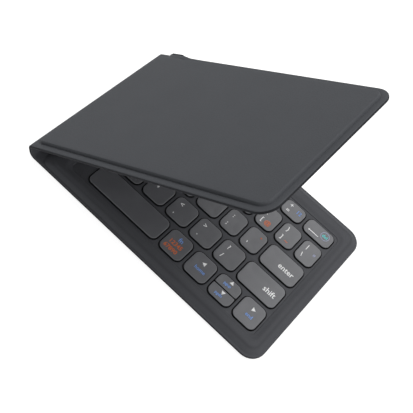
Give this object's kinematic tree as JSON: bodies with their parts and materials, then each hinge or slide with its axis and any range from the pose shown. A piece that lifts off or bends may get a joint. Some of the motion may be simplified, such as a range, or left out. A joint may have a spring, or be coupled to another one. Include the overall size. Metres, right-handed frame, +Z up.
{
  "type": "folding keyboard",
  "caption": "Slim keyboard in two leather-covered halves that fold shut like a book on a soft double-fold spine, with low sprung key caps and a charging port.",
  "frame": {"origin": "middle of the whole model's underside as it stands, the right half flat on the table and the left half open over it", "axes": "+X from the fold towards the right half's outer edge, +Y from the front edge to the rear, +Z up out of the right half's keys"},
  "size_m": [0.1484, 0.0967, 0.0987],
  "materials": {
    "leather": "fine-grained dark grey artificial leather",
    "lining": "smooth dark grey artificial leather",
    "key_frame": "fine texture, matte",
    "key_caps": "matte moulded caps",
    "plate": "plain",
    "film": "printed contact film",
    "domes": "matt black silicone",
    "battery_wrap": "pouch",
    "magnet": "nickel plated",
    "board": "solder mask",
    "port": "satin",
    "flex": "polyimide film"
  },
  "bodies": {
    "right_half": {"right_outer_cover": "leather", "right_inner_cover": "lining", "right_base_plate": "plate", "right_membrane": "film", "right_dome_sheet": "domes", "right_key_frame": "key_frame", "right_magnets": "magnet", "battery": "battery_wrap"},
    "spine": {"spine_cover": "leather", "spine_lining": "lining", "flex_cable": "flex"},
    "left_half": {"left_outer_cover": "leather", "left_inner_cover": "lining", "left_base_plate": "plate", "left_membrane": "film", "left_dome_sheet": "domes", "left_key_frame": "key_frame", "left_magnets": "magnet", "circuit_board": "board", "charging_port": "port", "port_housing": "leather"},
    "key_right_arrow": {"key_right_arrow": "key_caps"},
    "key_down_arrow": {"key_down_arrow": "key_caps"},
    "key_up_arrow": {"key_up_arrow": "key_caps"},
    "key_left_arrow": {"key_left_arrow": "key_caps"},
    "key_menu": {"key_menu": "key_caps"},
    "key_space_right": {"key_space_right": "key_caps"},
    "key_shift_right": {"key_shift_right": "key_caps"},
    "key_slash": {"key_slash": "key_caps"},
    "key_period": {"key_period": "key_caps"},
    "key_comma": {"key_comma": "key_caps"},
    "key_m": {"key_m": "key_caps"},
    "key_n": {"key_n": "key_caps"},
    "key_enter": {"key_enter": "key_caps"},
    "key_quote": {"key_quote": "key_caps"},
    "key_semicolon": {"key_semicolon": "key_caps"},
    "key_l": {"key_l": "key_caps"},
    "key_k": {"key_k": "key_caps"},
    "key_j": {"key_j": "key_caps"},
    "key_h": {"key_h": "key_caps"},
    "key_backslash": {"key_backslash": "key_caps"},
    "key_right_bracket": {"key_right_bracket": "key_caps"},
    "key_left_bracket": {"key_left_bracket": "key_caps"},
    "key_p": {"key_p": "key_caps"},
    "key_o": {"key_o": "key_caps"},
    "key_i": {"key_i": "key_caps"},
    "key_u": {"key_u": "key_caps"},
    "key_y": {"key_y": "key_caps"},
    "key_delete": {"key_delete": "key_caps"},
    "key_equals": {"key_equals": "key_caps"},
    "key_minus": {"key_minus": "key_caps"},
    "key_0": {"key_0": "key_caps"},
    "key_9": {"key_9": "key_caps"},
    "key_8": {"key_8": "key_caps"},
    "key_7": {"key_7": "key_caps"},
    "left_space_row": {"left_space_row": "key_caps"},
    "left_lower_row": {"left_lower_row": "key_caps"},
    "left_home_row": {"left_home_row": "key_caps"},
    "left_upper_row": {"left_upper_row": "key_caps"},
    "left_number_row": {"left_number_row": "key_caps"}
  },
  "joints": [
    {"name": "right_fold", "type": "hinge", "parent": "right_half", "child": "spine", "pos_m": [-0.07175, 0, 0.0021], "axis": [0, 1, 0], "range_deg": [-71, 19]},
    {"name": "left_fold", "type": "hinge", "parent": "spine", "child": "left_half", "pos_m": [-0.07383, 0, 0.00815], "axis": [0, 1, 0], "range_deg": [-71, 19]},
    {"name": "key_right_arrow_press", "type": "slide", "parent": "right_half", "child": "key_right_arrow", "axis": [0, 0, -1], "range_m": [0, 0.0011], "stiffness_N_per_m": 400, "springref_m": -0.0003, "deforming": ["right_dome_sheet"]},
    {"name": "key_down_arrow_press", "type": "slide", "parent": "right_half", "child": "key_down_arrow", "axis": [0, 0, -1], "range_m": [0, 0.0011], "stiffness_N_per_m": 400, "springref_m": -0.0003, "deforming": ["right_dome_sheet"]},
    {"name": "key_up_arrow_press", "type": "slide", "parent": "right_half", "child": "key_up_arrow", "axis": [0, 0, -1], "range_m": [0, 0.0011], "stiffness_N_per_m": 400, "springref_m": -0.0003, "deforming": ["right_dome_sheet"]},
    {"name": "key_left_arrow_press", "type": "slide", "parent": "right_half", "child": "key_left_arrow", "axis": [0, 0, -1], "range_m": [0, 0.0011], "stiffness_N_per_m": 400, "springref_m": -0.0003, "deforming": ["right_dome_sheet"]},
    {"name": "key_menu_press", "type": "slide", "parent": "right_half", "child": "key_menu", "axis": [0, 0, -1], "range_m": [0, 0.0011], "stiffness_N_per_m": 400, "springref_m": -0.0003, "deforming": ["right_dome_sheet"]},
    {"name": "key_space_right_press", "type": "slide", "parent": "right_half", "child": "key_space_right", "axis": [0, 0, -1], "range_m": [0, 0.0011], "stiffness_N_per_m": 400, "springref_m": -0.0003, "deforming": ["right_dome_sheet"]},
    {"name": "key_shift_right_press", "type": "slide", "parent": "right_half", "child": "key_shift_right", "axis": [0, 0, -1], "range_m": [0, 0.0011], "stiffness_N_per_m": 400, "springref_m": -0.0003, "deforming": ["right_dome_sheet"]},
    {"name": "key_slash_press", "type": "slide", "parent": "right_half", "child": "key_slash", "axis": [0, 0, -1], "range_m": [0, 0.0011], "stiffness_N_per_m": 400, "springref_m": -0.0003, "deforming": ["right_dome_sheet"]},
    {"name": "key_period_press", "type": "slide", "parent": "right_half", "child": "key_period", "axis": [0, 0, -1], "range_m": [0, 0.0011], "stiffness_N_per_m": 400, "springref_m": -0.0003, "deforming": ["right_dome_sheet"]},
    {"name": "key_comma_press", "type": "slide", "parent": "right_half", "child": "key_comma", "axis": [0, 0, -1], "range_m": [0, 0.0011], "stiffness_N_per_m": 400, "springref_m": -0.0003, "deforming": ["right_dome_sheet"]},
    {"name": "key_m_press", "type": "slide", "parent": "right_half", "child": "key_m", "axis": [0, 0, -1], "range_m": [0, 0.0011], "stiffness_N_per_m": 400, "springref_m": -0.0003, "deforming": ["right_dome_sheet"]},
    {"name": "key_n_press", "type": "slide", "parent": "right_half", "child": "key_n", "axis": [0, 0, -1], "range_m": [0, 0.0011], "stiffness_N_per_m": 400, "springref_m": -0.0003, "deforming": ["right_dome_sheet"]},
    {"name": "key_enter_press", "type": "slide", "parent": "right_half", "child": "key_enter", "axis": [0, 0, -1], "range_m": [0, 0.0011], "stiffness_N_per_m": 400, "springref_m": -0.0003, "deforming": ["right_dome_sheet"]},
    {"name": "key_quote_press", "type": "slide", "parent": "right_half", "child": "key_quote", "axis": [0, 0, -1], "range_m": [0, 0.0011], "stiffness_N_per_m": 400, "springref_m": -0.0003, "deforming": ["right_dome_sheet"]},
    {"name": "key_semicolon_press", "type": "slide", "parent": "right_half", "child": "key_semicolon", "axis": [0, 0, -1], "range_m": [0, 0.0011], "stiffness_N_per_m": 400, "springref_m": -0.0003, "deforming": ["right_dome_sheet"]},
    {"name": "key_l_press", "type": "slide", "parent": "right_half", "child": "key_l", "axis": [0, 0, -1], "range_m": [0, 0.0011], "stiffness_N_per_m": 400, "springref_m": -0.0003, "deforming": ["right_dome_sheet"]},
    {"name": "key_k_press", "type": "slide", "parent": "right_half", "child": "key_k", "axis": [0, 0, -1], "range_m": [0, 0.0011], "stiffness_N_per_m": 400, "springref_m": -0.0003, "deforming": ["right_dome_sheet"]},
    {"name": "key_j_press", "type": "slide", "parent": "right_half", "child": "key_j", "axis": [0, 0, -1], "range_m": [0, 0.0011], "stiffness_N_per_m": 400, "springref_m": -0.0003, "deforming": ["right_dome_sheet"]},
    {"name": "key_h_press", "type": "slide", "parent": "right_half", "child": "key_h", "axis": [0, 0, -1], "range_m": [0, 0.0011], "stiffness_N_per_m": 400, "springref_m": -0.0003, "deforming": ["right_dome_sheet"]},
    {"name": "key_backslash_press", "type": "slide", "parent": "right_half", "child": "key_backslash", "axis": [0, 0, -1], "range_m": [0, 0.0011], "stiffness_N_per_m": 400, "springref_m": -0.0003, "deforming": ["right_dome_sheet"]},
    {"name": "key_right_bracket_press", "type": "slide", "parent": "right_half", "child": "key_right_bracket", "axis": [0, 0, -1], "range_m": [0, 0.0011], "stiffness_N_per_m": 400, "springref_m": -0.0003, "deforming": ["right_dome_sheet"]},
    {"name": "key_left_bracket_press", "type": "slide", "parent": "right_half", "child": "key_left_bracket", "axis": [0, 0, -1], "range_m": [0, 0.0011], "stiffness_N_per_m": 400, "springref_m": -0.0003, "deforming": ["right_dome_sheet"]},
    {"name": "key_p_press", "type": "slide", "parent": "right_half", "child": "key_p", "axis": [0, 0, -1], "range_m": [0, 0.0011], "stiffness_N_per_m": 400, "springref_m": -0.0003, "deforming": ["right_dome_sheet"]},
    {"name": "key_o_press", "type": "slide", "parent": "right_half", "child": "key_o", "axis": [0, 0, -1], "range_m": [0, 0.0011], "stiffness_N_per_m": 400, "springref_m": -0.0003, "deforming": ["right_dome_sheet"]},
    {"name": "key_i_press", "type": "slide", "parent": "right_half", "child": "key_i", "axis": [0, 0, -1], "range_m": [0, 0.0011], "stiffness_N_per_m": 400, "springref_m": -0.0003, "deforming": ["right_dome_sheet"]},
    {"name": "key_u_press", "type": "slide", "parent": "right_half", "child": "key_u", "axis": [0, 0, -1], "range_m": [0, 0.0011], "stiffness_N_per_m": 400, "springref_m": -0.0003, "deforming": ["right_dome_sheet"]},
    {"name": "key_y_press", "type": "slide", "parent": "right_half", "child": "key_y", "axis": [0, 0, -1], "range_m": [0, 0.0011], "stiffness_N_per_m": 400, "springref_m": -0.0003, "deforming": ["right_dome_sheet"]},
    {"name": "key_delete_press", "type": "slide", "parent": "right_half", "child": "key_delete", "axis": [0, 0, -1], "range_m": [0, 0.0011], "stiffness_N_per_m": 400, "springref_m": -0.0003, "deforming": ["right_dome_sheet"]},
    {"name": "key_equals_press", "type": "slide", "parent": "right_half", "child": "key_equals", "axis": [0, 0, -1], "range_m": [0, 0.0011], "stiffness_N_per_m": 400, "springref_m": -0.0003, "deforming": ["right_dome_sheet"]},
    {"name": "key_minus_press", "type": "slide", "parent": "right_half", "child": "key_minus", "axis": [0, 0, -1], "range_m": [0, 0.0011], "stiffness_N_per_m": 400, "springref_m": -0.0003, "deforming": ["right_dome_sheet"]},
    {"name": "key_0_press", "type": "slide", "parent": "right_half", "child": "key_0", "axis": [0, 0, -1], "range_m": [0, 0.0011], "stiffness_N_per_m": 400, "springref_m": -0.0003, "deforming": ["right_dome_sheet"]},
    {"name": "key_9_press", "type": "slide", "parent": "right_half", "child": "key_9", "axis": [0, 0, -1], "range_m": [0, 0.0011], "stiffness_N_per_m": 400, "springref_m": -0.0003, "deforming": ["right_dome_sheet"]},
    {"name": "key_8_press", "type": "slide", "parent": "right_half", "child": "key_8", "axis": [0, 0, -1], "range_m": [0, 0.0011], "stiffness_N_per_m": 400, "springref_m": -0.0003, "deforming": ["right_dome_sheet"]},
    {"name": "key_7_press", "type": "slide", "parent": "right_half", "child": "key_7", "axis": [0, 0, -1], "range_m": [0, 0.0011], "stiffness_N_per_m": 400, "springref_m": -0.0003, "deforming": ["right_dome_sheet"]},
    {"name": "left_space_row_press", "type": "slide", "parent": "left_half", "child": "left_space_row", "axis": [-0.6157, 0, 0.788], "range_m": [0, 0.0011], "stiffness_N_per_m": 400, "springref_m": -0.0003, "deforming": ["left_dome_sheet"]},
    {"name": "left_lower_row_press", "type": "slide", "parent": "left_half", "child": "left_lower_row", "axis": [-0.6157, 0, 0.788], "range_m": [0, 0.0011], "stiffness_N_per_m": 400, "springref_m": -0.0003, "deforming": ["left_dome_sheet"]},
    {"name": "left_home_row_press", "type": "slide", "parent": "left_half", "child": "left_home_row", "axis": [-0.6157, 0, 0.788], "range_m": [0, 0.0011], "stiffness_N_per_m": 400, "springref_m": -0.0003, "deforming": ["left_dome_sheet"]},
    {"name": "left_upper_row_press", "type": "slide", "parent": "left_half", "child": "left_upper_row", "axis": [-0.6157, 0, 0.788], "range_m": [0, 0.0011], "stiffness_N_per_m": 400, "springref_m": -0.0003, "deforming": ["left_dome_sheet"]},
    {"name": "left_number_row_press", "type": "slide", "parent": "left_half", "child": "left_number_row", "axis": [-0.6157, 0, 0.788], "range_m": [0, 0.0011], "stiffness_N_per_m": 400, "springref_m": -0.0003, "deforming": ["left_dome_sheet"]}
  ],
  "couplings": [
    {"joint": "left_fold", "follows": "right_fold", "ratio": 1}
  ]
}
